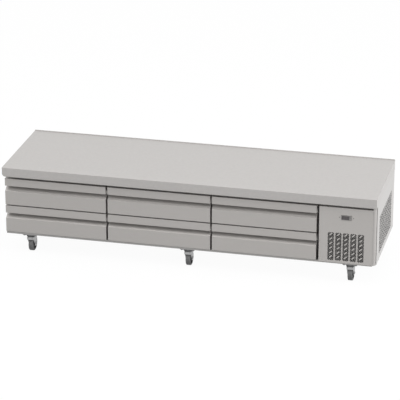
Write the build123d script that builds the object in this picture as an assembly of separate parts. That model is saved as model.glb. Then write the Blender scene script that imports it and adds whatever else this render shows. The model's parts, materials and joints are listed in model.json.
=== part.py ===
from build123d import *
import os

# Refrigerated chef base: six drawers in three bays beside a machine bay, on six swivel casters.
# Millimetres. X runs along the front to the right, Y runs to the back, Z is up.
# The origin is on the floor, under the middle of the worktop.

# Worktop
worktop_length = 2438.0
worktop_depth = 722.0
worktop_height = 595.0
worktop_thickness = 63.5
worktop_sheet = 1.5
worktop_edge_radius = 6.0
worktop_end_radius = 22.0
worktop_fold_radius = 2.0
worktop_return = 100.0
rear_lip_height = 5.0
rear_lip_thickness = 3.0
rear_lip_end_radius = 4.5
left_overhang = 10.0
front_overhang = 28.0
rear_overhang = 12.0

# Cabinet walls
caster_height = 130.0
rail_height = 12.0
shell_sheet = 1.2
liner_sheet = 1.0
insulation_thickness = 36.0
frame_sheet = 2.0
head_rail_height = 35.0
front_to_frame_gap = 0.3

# Drawer bays
bay_count = 3
machine_bay_width = 370.0
drawer_gap = 12.5
top_gap = 21.0
row_gap = 8.0
bottom_gap = 2.5
opening_inset = 18.0

# Drawer front, measured down from its top edge and back from its face
front_depth = 55.0
front_sheet = 1.0
front_back_flange = 14.0
band_height = 50.0
band_thickness = 12.0
cavity_rise = 20.0
cavity_depth = 38.0
cavity_back_height = 28.0
panel_drop = 86.0
panel_corner_radius = 7.0
front_fold_radius = 2.0

# Gasket and drawer frame
gasket_inset = 4.0
gasket_width = 12.0
gasket_depth = 8.0
backing_sheet = 1.2
backing_inset = 1.0
drawer_sheet = 1.5
pan_side_gap = 33.55
full_pan_share = 0.667
pan_ledge = 10.0
pan_front_margin = 15.0
pan_rear_margin = 10.0
pan_rim_drop = 14.0
frame_rear_gap = 2.3
frame_guard_height = 12.0
frame_skirt_height = 48.0
divider_web_height = 20.0

# Telescopic slides
slide_height = 45.0
slide_thickness = 19.0
slide_sheet = 1.2
slide_gap = 0.4
slide_web_gap = 0.8
slide_open_gap = 3.0
slide_drop = 25.0
slide_front_setback = 4.0
slide_end_step = 3.0
channel_rear_gap = 73.3
middle_member_shortfall = 50.0
drawer_member_shortfall = 20.0
mullion_rear_setback = 2.0

# Corner post and side panel
post_radius = 20.0
post_inset = 3.9
post_sheet = 1.5
skirt_drop = 5.0
side_sheet = 1.2
side_hem = 12.0
side_joint = 0.5

# Service panel
service_side_gap = 4.0
service_joint = 0.5
service_sheet = 1.2
service_flange = 20.0
service_top_flange = 55.0
tray_clearance = 2.0

# Front vent
vent_shift = 0.95
vent_bottom_gap = 14.0
vent_top_gap = 104.0
vent_band_pitch = 47.7
vent_bar_width = 4.5
vent_band_count = 5
vent_columns = 7
vent_row_pitch = 5.09
vent_island_rows = 6
vent_island_reach = (-1, 1)

# Side grille
grille_front_gap = 110.0
grille_rear_gap = 100.0
grille_top_gap = 101.5
grille_bottom_gap = 35.0
grille_band_pitch = 49.5
grille_bar_width = 5.0
grille_columns = 5
grille_row_pitch = 7.45
grille_island_rows = 4
grille_island_reach = (0, 1)

# Both perforations: a punched diamond's share of its full lattice diamond
punch_share = 0.9
island_first_row = 2

# Controller
controller_shift = 1.95
controller_drop = 64.0
facia_width = 68.0
facia_height = 33.0
facia_thickness = 3.0
controller_wall = 2.0
controller_body_inset = 2.0
controller_body_depth = 45.0
display_width = 48.0
display_height = 25.0
display_thickness = 2.4
display_left_margin = 4.0
key_size = 8.0
key_clearance = 0.3
key_spacing = 13.0
key_right_margin = 9.6
key_flange = 0.6
key_flange_thickness = 1.2
key_travel = 0.8
key_stop_gap = 0.1
board_thickness = 1.6
key_proud = 0.4
screw_spacing = 90.0
screw_head_radius = 3.0
screw_head_thickness = 1.8
screw_radius = 1.6
screw_length = 12.0
screw_hole_radius = 1.9
screw_hole_sides = 8

# Underframe
rail_setback = 4.0
rail_width = 80.0
rail_wall = 2.0
rail_end_inset = 2.0
cross_rail_width = 50.0
cross_rail_count = 5

# Casters
caster_end_inset = 166.0
caster_edge_distance = 1.0
caster_plate_width = 95.0
caster_plate_depth = 67.0
caster_plate_thickness = 4.0
caster_trail = 29.0
caster_bolt_spacing_x = 76.0
caster_bolt_spacing_y = 48.0
caster_bolt_radius = 4.0
caster_bolt_clearance = 0.2
caster_bolt_head_radius = 6.5
caster_bolt_head_thickness = 5.0
caster_bolt_length = 13.0
race_radius = 28.0
race_height = 8.0
race_gap = 0.4
fork_race_radius = 26.5
kingpin_radius = 6.0
kingpin_head_radius = 8.0
kingpin_head_thickness = 4.5
running_clearance = 0.05
seat_clearance = 0.3
fork_sheet = 3.0
fork_crown_gap = 3.0
fork_inside_width = 36.0
fork_front_reach = 27.0
fork_rear_reach = 20.0
fork_apron_drop = 11.0
fork_foot_radius = 19.0
axle_radius = 5.0
axle_head_radius = 8.0
axle_head_thickness = 4.0
wheel_diameter = 100.0
wheel_width = 31.0
wheel_edge_radius = 5.0
wheel_hub_radius = 16.0
wheel_rim_radius = 36.0
wheel_web_recess = 6.0

# Condensing unit
coil_front_gap = 33.0
coil_side_gap = 39.4
coil_top_gap = 103.3
coil_depth = 50.0
coil_ground_gap = 20.0
coil_plate = 1.5
shroud_sheet = 1.5
fan_frame_margin = 30.5
fan_tip_gap = 3.0
fan_hub_radius = 28.0
fan_hub_depth = 25.0
fan_front_gap = 9.0
fan_blade_count = 5
fan_blade_chord = 46.0
fan_blade_sheet = 2.0
fan_blade_pitch = 28.0
fan_shaft_radius = 4.0
fan_shaft_length = 45.0
motor_bar_gap = 10.0
motor_bar_width = 30.0
motor_bar_sheet = 3.0
motor_bar_foot = 15.0
motor_radius = 36.0
motor_depth = 60.0
compressor_radius = 75.0
compressor_height = 170.0
compressor_dome_radius = 25.0
compressor_rear_gap = 150.0
compressor_plate_width = 190.0
compressor_plate_depth = 150.0
compressor_plate_thickness = 3.0
compressor_foot_radius = 10.0
compressor_foot_height = 12.0
compressor_foot_inset = 14.0
terminal_box_width = 40.0
terminal_box_height = 60.0
port_offset = 38.0
rear_slot_top_gap = 76.5
rear_slot_length = 260.0
rear_slot_height = 8.0
rear_slot_pitch = 22.0
rear_slot_rise = 120.0

# Evaporator
evaporator_width = 340.0
evaporator_top_gap = 60.3
evaporator_depth = 27.0
evaporator_rear_gap = 6.0
evaporator_rise = 40.0
housing_sheet = 1.2
housing_front_gap = 15.0
housing_slot_height = 12.0
small_fan_radius = 55.0
small_fan_tip_gap = 3.0
small_fan_hub_radius = 16.0
small_fan_depth = 10.0
small_fan_gap = 1.5
small_fan_chord = 15.0
small_shaft_radius = 3.0
small_shaft_length = 17.0
small_motor_radius = 20.0
small_motor_depth = 20.0
small_motor_arm_width = 12.0
small_motor_arm_depth = 4.0

# Refrigerant pipes
pipe_radius = 5.0
pipe_bend_radius = 22.0
pipe_clearance = 0.4
pipe_header_rise = 45.0
pipe_top_share = 0.96
pipe_bottom_share = 0.12

# Power inlet
gland_flange_radius = 15.0
gland_flange_thickness = 4.0
gland_nose_radius = 10.0
gland_nose_length = 6.0
gland_inside_length = 18.0
gland_bore_radius = 5.0
gland_rise = 60.0
gland_side_inset = 60.0

# Working allowances
overrun = 5.0
edge_tolerance = 0.05

# Places worked out from the sizes
left_end = -worktop_length / 2
right_end = worktop_length / 2
front_end = -worktop_depth / 2
rear_end = worktop_depth / 2
worktop_underside = worktop_height - worktop_thickness
front_plane = front_end + front_overhang
body_left = left_end + left_overhang
body_rear = rear_end - rear_overhang
rail_top = caster_height + rail_height

bay_pitch = (worktop_length - left_overhang - machine_bay_width) / bay_count
front_width = bay_pitch - drawer_gap
upper_front_top = worktop_underside - top_gap
front_height = (upper_front_top - rail_top - bottom_gap - row_gap) / 2
lower_front_top = upper_front_top - front_height - row_gap
front_back = front_plane + front_depth
backing_back = front_back + backing_sheet
frame_front = backing_back + gasket_depth + front_to_frame_gap
frame_back = frame_front + frame_sheet

wall_thickness = shell_sheet + insulation_thickness + liner_sheet
interior_left = body_left + wall_thickness
interior_floor = rail_top + wall_thickness
interior_rear = body_rear - wall_thickness
opening_half_width = body_left + front_width / 2 - interior_left
opening_height = lower_front_top - opening_inset - interior_floor
interior_ceiling = worktop_underside - liner_sheet
channel_front = frame_back + slide_front_setback
channel_rear = interior_rear - channel_rear_gap
interior_right = body_left + front_width / 2 + (bay_count - 1) * bay_pitch + opening_half_width
partition_right = interior_right + wall_thickness

machine_floor = rail_top + shell_sheet
post_right = right_end - post_inset
post_left = post_right - post_radius
side_inner = right_end - side_sheet
side_front = front_plane + post_radius + side_joint
skirt_bottom = rail_top - skirt_drop
service_left = body_left + bay_count * bay_pitch + service_side_gap
service_right = post_left - service_joint
service_middle = (service_left + service_right) / 2
machine_middle = (partition_right + side_inner) / 2

bay_names = ["left", "middle", "right"]
row_tops = {"upper": upper_front_top, "lower": lower_front_top}

caster_middles = {"left": left_end + caster_end_inset, "middle": 0, "right": right_end - caster_end_inset}
rail_front = front_plane + rail_setback
rail_rear = body_rear - rail_setback
kingpin_front = rail_front + caster_edge_distance + caster_plate_depth / 2
kingpin_rear = rail_rear - caster_edge_distance - caster_plate_depth / 2


def block(x_ends, y_ends, z_ends):
    sizes = [abs(high - low) for low, high in (x_ends, y_ends, z_ends)]
    middle = [(high + low) / 2 for low, high in (x_ends, y_ends, z_ends)]
    return Pos(*middle) * Box(*sizes)


def span(middle, half):
    return (middle - half, middle + half)


def rod(radius, x_middle, y_ends, z_middle):
    low, high = min(y_ends), max(y_ends)
    place = Pos(x_middle, (low + high) / 2, z_middle) * Rot(90, 0, 0)
    return place * Cylinder(radius, high - low)


def post(radius, x_middle, y_middle, z_ends):
    low, high = min(z_ends), max(z_ends)
    return Pos(x_middle, y_middle, (low + high) / 2) * Cylinder(radius, high - low)


def cross_rod(radius, x_ends, y_middle, z_middle):
    low, high = min(x_ends), max(x_ends)
    place = Pos((low + high) / 2, y_middle, z_middle) * Rot(0, 90, 0)
    return place * Cylinder(radius, high - low)


def bay_middle(bay):
    return body_left + front_width / 2 + bay * bay_pitch


def opening_top(row):
    return row_tops[row] - opening_inset


def edges_on(shape, axis, first, second):
    found = []
    for line in shape.edges().filter_by(axis):
        centre = line.center()
        across = centre.Y if axis == Axis.X else centre.X
        if abs(across - first) < edge_tolerance and abs(centre.Z - second) < edge_tolerance:
            found.append(line)
    return found


# Worktop and its core

def slab(inset):
    low_x, high_x = left_end + inset, right_end - inset
    low_y, high_y = front_end + inset, rear_end - inset
    low_z, high_z = worktop_underside + inset, worktop_height - inset
    shape = block((low_x, high_x), (low_y, high_y), (low_z, high_z))
    shape = fillet(edges_on(shape, Axis.Y, low_x, low_z), worktop_end_radius - inset)
    return fillet(edges_on(shape, Axis.X, low_y, low_z), worktop_edge_radius - inset)


def make_worktop():
    outside = slab(0)
    inside = slab(worktop_sheet)
    mouth = block(
        (left_end + worktop_return, right_end - worktop_return),
        (front_end + worktop_return, rear_end - worktop_return),
        (worktop_underside - overrun, worktop_underside + worktop_sheet + overrun),
    )
    lip = block(
        (left_end, right_end),
        (rear_end - rear_lip_thickness, rear_end),
        (worktop_height - worktop_sheet, worktop_height + rear_lip_height),
    )
    lip = fillet(lip.faces().sort_by(Axis.Z)[-1].edges().filter_by(Axis.Y), rear_lip_end_radius)
    upper_edges = edges_on(outside, Axis.X, front_end, worktop_height)
    upper_edges += edges_on(outside, Axis.Y, left_end, worktop_height)
    outside = fillet(upper_edges, worktop_fold_radius)
    return outside - inside - mouth + lip


def make_worktop_core():
    return block(
        (left_end + worktop_end_radius, right_end - worktop_sheet),
        (front_end + worktop_edge_radius, rear_end - worktop_sheet),
        (worktop_underside + worktop_sheet, worktop_height - worktop_sheet),
    )


# Cabinet walls

def pipe_hole(x_ends, z_middle):
    return cross_rod(pipe_radius + pipe_clearance, x_ends, evaporator_middle_y, z_middle)


evaporator_rear = interior_rear - evaporator_rear_gap
evaporator_front = evaporator_rear - evaporator_depth
evaporator_middle_y = (evaporator_rear + evaporator_front) / 2
evaporator_bottom = interior_floor + evaporator_rise
evaporator_top = interior_ceiling - evaporator_top_gap
evaporator_height = evaporator_top - evaporator_bottom
evaporator_middle_x = bay_middle(bay_count - 1)
evaporator_right = evaporator_middle_x + evaporator_width / 2
liquid_height = evaporator_bottom + evaporator_height * pipe_top_share
suction_height = evaporator_bottom + evaporator_height * pipe_bottom_share


def make_cabinet_shell():
    wall_heights = (machine_floor, worktop_underside)
    rear_start = body_rear - shell_sheet
    left_wall = block((body_left, body_left + shell_sheet), (frame_back, rear_start), wall_heights)
    floor = block((body_left, side_inner), (frame_back, body_rear), (rail_top, machine_floor))
    tray_front = front_plane + service_flange + tray_clearance
    tray_ends = (partition_right, post_left - service_joint)
    tray = block(tray_ends, (tray_front, frame_back), (rail_top, machine_floor))
    rear_wall = block((body_left, side_inner), (rear_start, body_rear), wall_heights)
    first_slot = machine_floor + rear_slot_rise
    slot_room = worktop_underside - rear_slot_top_gap - rear_slot_height - first_slot
    for slot in range(1 + int(slot_room / rear_slot_pitch)):
        slot_low = first_slot + slot * rear_slot_pitch
        rear_wall -= block(
            span(machine_middle, rear_slot_length / 2),
            (rear_start - overrun, body_rear + overrun),
            (slot_low, slot_low + rear_slot_height),
        )
    wall_cut = (rear_start - overrun, body_rear + overrun)
    rear_wall -= rod(gland_nose_radius + pipe_clearance, gland_x, wall_cut, gland_z)
    partition_ends = (partition_right - shell_sheet, partition_right)
    partition = block(partition_ends, (frame_back, rear_start), wall_heights)
    hole_ends = (partition_ends[0] - overrun, partition_ends[1] + overrun)
    partition -= pipe_hole(hole_ends, liquid_height)
    partition -= pipe_hole(hole_ends, suction_height)
    return [left_wall, floor, tray, rear_wall, partition]


def make_insulation():
    low_x, high_x = body_left + shell_sheet, partition_right - shell_sheet
    high_y = body_rear - shell_sheet
    inner_y = interior_rear + liner_sheet
    inner_floor = interior_floor - liner_sheet
    heights = (inner_floor, worktop_underside)
    floor_board = block((low_x, high_x), (frame_back, high_y), (machine_floor, inner_floor))
    rear_board = block((low_x, high_x), (inner_y, high_y), heights)
    left_board = block((low_x, interior_left - liner_sheet), (frame_back, inner_y), heights)
    right_ends = (interior_right + liner_sheet, high_x)
    right_board = block(right_ends, (frame_back, inner_y), heights)
    hole_ends = (right_ends[0] - overrun, right_ends[1] + overrun)
    right_board -= pipe_hole(hole_ends, liquid_height)
    right_board -= pipe_hole(hole_ends, suction_height)
    return [make_worktop_core(), floor_board, rear_board, left_board, right_board]


def make_cabinet_liner():
    outer_x = (interior_left - liner_sheet, interior_right + liner_sheet)
    side_depths = (frame_back, interior_rear)
    side_heights = (interior_floor, interior_ceiling)
    floor_depths = (frame_back, interior_rear + liner_sheet)
    right_wall = block((interior_right, outer_x[1]), side_depths, side_heights)
    hole_ends = (interior_right - overrun, outer_x[1] + overrun)
    right_wall -= pipe_hole(hole_ends, liquid_height)
    right_wall -= pipe_hole(hole_ends, suction_height)
    sheets = [
        block(outer_x, floor_depths, (interior_floor - liner_sheet, interior_floor)),
        block(outer_x, floor_depths, (interior_ceiling, worktop_underside)),
        block(outer_x, (interior_rear, interior_rear + liner_sheet), side_heights),
        block((outer_x[0], interior_left), side_depths, side_heights),
        right_wall,
    ]
    mullion_depths = (frame_back, channel_rear - mullion_rear_setback)
    for bay in range(bay_count - 1):
        left_face = bay_middle(bay) + opening_half_width
        right_face = bay_middle(bay + 1) - opening_half_width
        for sheet_ends in ((left_face, left_face + liner_sheet), (right_face - liner_sheet, right_face)):
            sheets.append(block(sheet_ends, mullion_depths, side_heights))
    return sheets


def make_corner_post():
    heights = (skirt_bottom, worktop_underside)
    rounding = post(post_radius, post_left, front_plane + post_radius, heights)
    rounding -= post(post_radius - post_sheet, post_left, front_plane + post_radius, heights)
    quarter = block((post_left, post_right), (front_plane, front_plane + post_radius), heights)
    shape = rounding & quarter
    shape += block((post_right - post_sheet, post_right), (front_plane + post_radius, frame_back), heights)
    shape += block((post_left, post_left + post_sheet), (front_plane, frame_back), heights)
    return shape


def make_face_frame():
    depths = (frame_front, frame_back)
    head_heights = (worktop_underside - head_rail_height, worktop_underside)
    frame = [make_corner_post(), block((partition_right, post_left), depths, head_heights)]
    stile_start = body_left
    for bay in range(bay_count):
        opening_left, opening_right = span(bay_middle(bay), opening_half_width)
        frame.append(block((stile_start, opening_left), depths, (rail_top, worktop_underside)))
        levels = [
            (opening_top("upper"), worktop_underside),
            (opening_top("lower"), opening_top("upper") - opening_height),
            (rail_top, opening_top("lower") - opening_height),
        ]
        for heights in levels:
            frame.append(block((opening_left, opening_right), depths, heights))
        stile_start = opening_right
    frame.append(block((stile_start, partition_right), depths, (rail_top, worktop_underside)))
    return frame


# Perforated panels

def band_sites(columns, rows, island_rows, island_reach):
    middle = columns // 2
    parity = (middle + island_first_row) % 2
    sites = []
    for row in range(rows):
        for column in range(columns):
            side = column - middle
            on_island = (row + side - island_first_row) % island_rows == 0
            on_island = on_island and island_reach[0] <= side <= island_reach[1]
            if (row + column) % 2 == parity and not on_island:
                sites.append((column, row))
    return sites


def diamond(place, along, height, half_along, half_height):
    corners = [
        (along - half_along, height),
        (along, height + half_height),
        (along + half_along, height),
        (along, height - half_height),
    ]
    return Wire.make_polygon([place(a, b) for a, b in corners], close=True)


def rectangle(place, along_ends, height_ends):
    corners = [
        (along_ends[0], height_ends[0]),
        (along_ends[1], height_ends[0]),
        (along_ends[1], height_ends[1]),
        (along_ends[0], height_ends[1]),
    ]
    return Wire.make_polygon([place(a, b) for a, b in corners], close=True)


def ring_hole(place, along, height, radius, sides):
    flat = RegularPolygon(radius, sides, major_radius=False)
    corners = [(along + corner.X, height + corner.Y) for corner in flat.face().outer_wire().vertices()]
    return Wire.make_polygon([place(a, b) for a, b in corners], close=True)


def punched_bands(place, along_ends, level_ends, bands, bar, columns, row_pitch, island_rows, island_reach):
    pitch = (along_ends[1] - along_ends[0] + bar) / bands
    column_step = (pitch - bar) / (columns - 1 + 2 * punch_share)
    height = level_ends[1] - level_ends[0]
    rows = round(height / row_pitch + 1 - 2 * punch_share)
    row_step = height / (rows - 1 + 2 * punch_share)
    half_along = column_step * punch_share
    half_height = row_step * punch_share
    holes = []
    for band in range(bands):
        band_start = along_ends[0] + band * pitch + half_along
        for column, row in band_sites(columns, rows, island_rows, island_reach):
            along = band_start + column * column_step
            level = level_ends[1] - half_height - row * row_step
            holes.append(diamond(place, along, level, half_along, half_height))
    return holes


controller_x = service_middle + controller_shift
controller_z = upper_front_top - controller_drop
body_half_width = facia_width / 2 - controller_body_inset
body_half_height = facia_height / 2 - controller_body_inset


def make_service_panel():
    def place(along, level):
        return (along, front_plane, level)

    vent_width = vent_band_pitch * vent_band_count - vent_bar_width
    holes = punched_bands(
        place,
        span(service_middle + vent_shift, vent_width / 2),
        (skirt_bottom + vent_bottom_gap, controller_z - vent_top_gap),
        vent_band_count, vent_bar_width, vent_columns, vent_row_pitch, vent_island_rows, vent_island_reach,
    )
    holes.append(rectangle(
        place,
        span(controller_x, body_half_width),
        span(controller_z, body_half_height),
    ))
    for side in (-1, 1):
        screw_x = controller_x + side * screw_spacing / 2
        holes.append(ring_hole(place, screw_x, controller_z, screw_hole_radius, screw_hole_sides))
    outer = rectangle(place, (service_left, service_right), (skirt_bottom, upper_front_top))
    plate = extrude(Face(outer, holes), amount=service_sheet, dir=(0, 1, 0))
    flange_bottom = machine_floor
    flanges = block(
        (service_left, service_right),
        (front_plane + service_sheet, front_plane + service_flange),
        (flange_bottom, upper_front_top),
    )
    flanges -= block(
        (service_left + service_sheet, service_right - service_sheet),
        (front_plane, front_plane + service_flange + overrun),
        (flange_bottom + service_sheet, upper_front_top - service_sheet),
    )
    top_flange = block(
        (service_left, service_right),
        (front_plane + service_sheet, front_plane + service_top_flange),
        (upper_front_top - service_sheet, upper_front_top),
    )
    return plate + flanges + top_flange


def make_side_panel():
    def place(along, level):
        return (right_end, along, level)

    grille_ends = (front_plane + grille_front_gap, body_rear - grille_rear_gap)
    bands = round((grille_ends[1] - grille_ends[0] + grille_bar_width) / grille_band_pitch)
    holes = punched_bands(
        place,
        grille_ends,
        (skirt_bottom + grille_bottom_gap, worktop_underside - grille_top_gap),
        bands, grille_bar_width, grille_columns, grille_row_pitch, grille_island_rows, grille_island_reach,
    )
    outer = rectangle(place, (side_front, body_rear), (skirt_bottom, worktop_underside))
    plate = extrude(Face(outer, holes), amount=side_sheet, dir=(-1, 0, 0))
    hem = block(
        (side_inner - side_sheet, side_inner),
        (side_front, side_front + side_hem),
        (skirt_bottom, worktop_underside),
    )
    return plate + hem


# Controller

def key_places():
    key_x = controller_x + facia_width / 2 - key_right_margin
    return {"up": (key_x, controller_z + key_spacing / 2), "down": (key_x, controller_z - key_spacing / 2)}


def make_controller_bezel():
    bezel = block(
        span(controller_x, facia_width / 2),
        (front_plane - facia_thickness, front_plane),
        span(controller_z, facia_height / 2),
    )
    bezel = fillet(bezel.edges().filter_by(Axis.Y), facia_thickness)
    casing = block(
        span(controller_x, body_half_width),
        (front_plane, front_plane + controller_body_depth),
        span(controller_z, body_half_height),
    )
    casing -= block(
        span(controller_x, body_half_width - controller_wall),
        (front_plane, front_plane + controller_body_depth + overrun),
        span(controller_z, body_half_height - controller_wall),
    )
    board_front = front_plane + key_flange_thickness + key_travel + key_stop_gap
    casing += block(
        span(controller_x, body_half_width),
        (board_front, board_front + board_thickness),
        span(controller_z, body_half_height),
    )
    bezel += casing
    bezel -= block(*display_ends(overrun))
    hole_half = key_size / 2 + key_clearance
    for key_x, key_z in key_places().values():
        bezel -= block(
            span(key_x, hole_half),
            (front_plane - facia_thickness - overrun, board_front),
            span(key_z, hole_half),
        )
    return bezel


def display_ends(front_reach):
    left = controller_x - facia_width / 2 + display_left_margin
    face = front_plane - facia_thickness
    return (
        (left, left + display_width),
        (face - front_reach, face + display_thickness),
        span(controller_z, display_height / 2),
    )


def make_controller_key(key_x, key_z):
    half = key_size / 2
    flange_half = half + key_flange
    cap = block(
        span(key_x, half),
        (front_plane - facia_thickness - key_proud, front_plane),
        span(key_z, half),
    )
    flange = block(
        span(key_x, flange_half),
        (front_plane, front_plane + key_flange_thickness),
        span(key_z, flange_half),
    )
    return cap + flange


def make_panel_screws():
    screws = []
    for side in (-1, 1):
        screw_x = controller_x + side * screw_spacing / 2
        head_ends = (front_plane - screw_head_thickness, front_plane)
        head = rod(screw_head_radius, screw_x, head_ends, controller_z)
        shank = rod(screw_radius, screw_x, (front_plane, front_plane + screw_length), controller_z)
        screws.append(head + shank)
    return screws


# Drawers

def front_section(face_y, top_z):
    corner = panel_corner_radius
    with BuildSketch(Plane.YZ) as sketch:
        with BuildLine():
            Polyline(
                (face_y, top_z),
                (face_y, top_z - band_height),
                (face_y + band_thickness, top_z - band_height),
                (face_y + band_thickness, top_z - band_height + cavity_rise),
                (face_y + cavity_depth, top_z - band_height + cavity_rise),
                (face_y + cavity_depth, top_z - band_height + cavity_rise - cavity_back_height),
                (face_y, top_z - panel_drop),
                (face_y, top_z - front_height),
                (face_y + front_depth, top_z - front_height),
                (face_y + front_depth, top_z),
                close=True,
            )
        make_face()
        front_corners = sketch.vertices().filter_by_position(
            Axis.Y, face_y - front_fold_radius, face_y + front_fold_radius
        )
        panel_corner = [v for v in front_corners if abs(v.Z - top_z + panel_drop) < front_fold_radius]
        fillet(panel_corner, corner)
        other_corners = [v for v in front_corners if abs(v.Z - top_z + panel_drop) >= front_fold_radius]
        fillet(other_corners, front_fold_radius)
    return sketch.sketch.face()


def make_drawer_front(middle_x, top_z):
    section = front_section(front_plane, top_z)
    inner = offset(section, amount=-front_sheet)
    outside = Pos(middle_x - front_width / 2, 0, 0) * extrude(section, amount=front_width)
    inside_width = front_width - 2 * front_sheet
    inside = Pos(middle_x - inside_width / 2, 0, 0) * extrude(inner, amount=inside_width)
    mouth_half = front_width / 2 - front_back_flange
    mouth = block(
        span(middle_x, mouth_half),
        (front_back - front_sheet - overrun, front_back + overrun),
        (top_z - front_height + front_back_flange, top_z - front_back_flange),
    )
    return outside - inside - mouth


def make_gasket(middle_x, top_z):
    outer_half = front_width / 2 - gasket_inset
    inner_half = outer_half - gasket_width
    outer_low, outer_high = top_z - front_height + gasket_inset, top_z - gasket_inset
    depth_ends = (backing_back, backing_back + gasket_depth)
    ring = block(span(middle_x, outer_half), depth_ends, (outer_low, outer_high))
    return ring - block(
        span(middle_x, inner_half),
        (backing_back - overrun, backing_back + gasket_depth + overrun),
        (outer_low + gasket_width, outer_high - gasket_width),
    )


def slide_rail(wall_x, inward, web_depth, lip_depths, half_height, y_ends, z_middle):
    web_ends = (wall_x + inward * web_depth, wall_x + inward * (web_depth + slide_sheet))
    lip_ends = (wall_x + inward * lip_depths[0], wall_x + inward * lip_depths[1])
    rail = block(web_ends, y_ends, span(z_middle, half_height))
    for side in (-1, 1):
        edge = z_middle + side * half_height
        rail += block(lip_ends, y_ends, (edge, edge - side * slide_sheet))
    return rail


channel_half = slide_height / 2
middle_half = channel_half - slide_sheet - slide_gap
member_half = middle_half - slide_sheet - slide_gap
middle_web_depth = slide_sheet + slide_web_gap
member_lip_start = middle_web_depth + slide_sheet + slide_web_gap


def slide_walls(middle_x):
    return ((middle_x - opening_half_width, 1), (middle_x + opening_half_width, -1))


def rim_level(row):
    return opening_top(row) - pan_rim_drop


def make_slide_channels():
    channels = []
    for bay in range(bay_count):
        for row in row_tops:
            level = rim_level(row) - slide_drop
            for wall_x, inward in slide_walls(bay_middle(bay)):
                channels.append(slide_rail(
                    wall_x, inward, 0, (0, slide_thickness - slide_open_gap), channel_half,
                    (channel_front, channel_rear), level,
                ))
    return channels


def make_middle_members(middle_x, row):
    start = channel_front + slide_end_step
    middle_member_length = channel_rear - channel_front - middle_member_shortfall
    level = rim_level(row) - slide_drop
    return [
        slide_rail(
            wall_x, inward, middle_web_depth,
            (middle_web_depth, slide_thickness - slide_sheet - slide_gap),
            middle_half, (start, start + middle_member_length), level,
        )
        for wall_x, inward in slide_walls(middle_x)
    ]


def make_drawer_frame(middle_x, row):
    top_z = row_tops[row]
    rim = rim_level(row)
    ledge_heights = (rim - drawer_sheet, rim)
    web_half = opening_half_width - slide_thickness
    hole_half = opening_half_width - pan_side_gap - pan_ledge
    rear = channel_rear - frame_rear_gap
    pans_front = backing_back + pan_front_margin
    pans_rear = rear - pan_rear_margin
    pans_split = pans_front + full_pan_share * (pans_rear - pans_front)
    first_start, first_end = pans_front + pan_ledge, pans_split - pan_ledge
    second_start, second_end = pans_split + pan_ledge, pans_rear - pan_ledge

    backing = block(
        span(middle_x, front_width / 2 - backing_inset),
        (front_back, backing_back),
        (top_z - front_height + backing_inset, top_z - backing_inset),
    )
    front_bar = block(span(middle_x, hole_half), (backing_back, first_start), ledge_heights)
    divider = block(span(middle_x, hole_half), (first_end, second_start), ledge_heights)
    divider += block(
        span(middle_x, hole_half),
        span((first_end + second_start) / 2, drawer_sheet / 2),
        (rim - divider_web_height, rim),
    )
    rear_bar = block(span(middle_x, hole_half), (second_end, rear), ledge_heights)
    rear_bar += block(
        span(middle_x, hole_half),
        (rear - drawer_sheet, rear),
        (rim - divider_web_height, rim + frame_guard_height),
    )
    solids = [backing, front_bar, divider, rear_bar]
    for wall_x, inward in slide_walls(middle_x):
        web_x = middle_x - inward * web_half
        hole_x = middle_x - inward * hole_half
        side_rail = block((web_x, hole_x), (backing_back, rear), ledge_heights)
        side_rail += block(
            (web_x, web_x + inward * drawer_sheet),
            (backing_back, rear),
            (rim - frame_skirt_height, rim + frame_guard_height),
        )
        side_rail += slide_rail(
            wall_x, inward, slide_thickness - slide_sheet, (member_lip_start, slide_thickness), member_half,
            (channel_front, channel_rear - drawer_member_shortfall), rim - slide_drop,
        )
        solids.append(side_rail)
    return solids


# Underframe and casters

def make_underframe():
    x_ends = (body_left + rail_end_inset, post_left - rail_end_inset)
    frame = None
    for near, far in ((rail_front, rail_front + rail_width), (rail_rear - rail_width, rail_rear)):
        tube = block(x_ends, (near, far), (caster_height, rail_top))
        tube -= block(
            (x_ends[0] - overrun, x_ends[1] + overrun),
            (near + rail_wall, far - rail_wall),
            (caster_height + rail_wall, rail_top - rail_wall),
        )
        frame = tube if frame is None else frame + tube
    cross_rail_pitch = (x_ends[1] - x_ends[0] - cross_rail_width) / (cross_rail_count - 1)
    for index in range(cross_rail_count):
        low_x = x_ends[0] + index * cross_rail_pitch
        y_ends = (rail_front + rail_width, rail_rear - rail_width)
        rail = block((low_x, low_x + cross_rail_width), y_ends, (caster_height, rail_top))
        rail -= block(
            (low_x + rail_wall, low_x + cross_rail_width - rail_wall),
            y_ends,
            (caster_height - overrun, rail_top - rail_wall),
        )
        frame += rail
    for caster_x in caster_middles.values():
        for kingpin_y in (kingpin_front, kingpin_rear):
            for bolt_x, bolt_y in bolt_places(caster_x, kingpin_y):
                frame -= post(
                    caster_bolt_radius + caster_bolt_clearance, bolt_x, bolt_y,
                    (caster_height - overrun, caster_height + rail_wall + overrun),
                )
    return frame


def bolt_places(caster_x, kingpin_y):
    places = []
    for side_x in (-1, 1):
        for side_y in (-1, 1):
            places.append((
                caster_x + side_x * caster_bolt_spacing_x / 2,
                kingpin_y + side_y * caster_bolt_spacing_y / 2,
            ))
    return places


plate_bottom = caster_height - caster_plate_thickness
wheel_radius = wheel_diameter / 2
crown_bottom = wheel_diameter + fork_crown_gap
crown_top = crown_bottom + fork_sheet
fork_outer_half = fork_inside_width / 2 + fork_sheet


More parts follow.
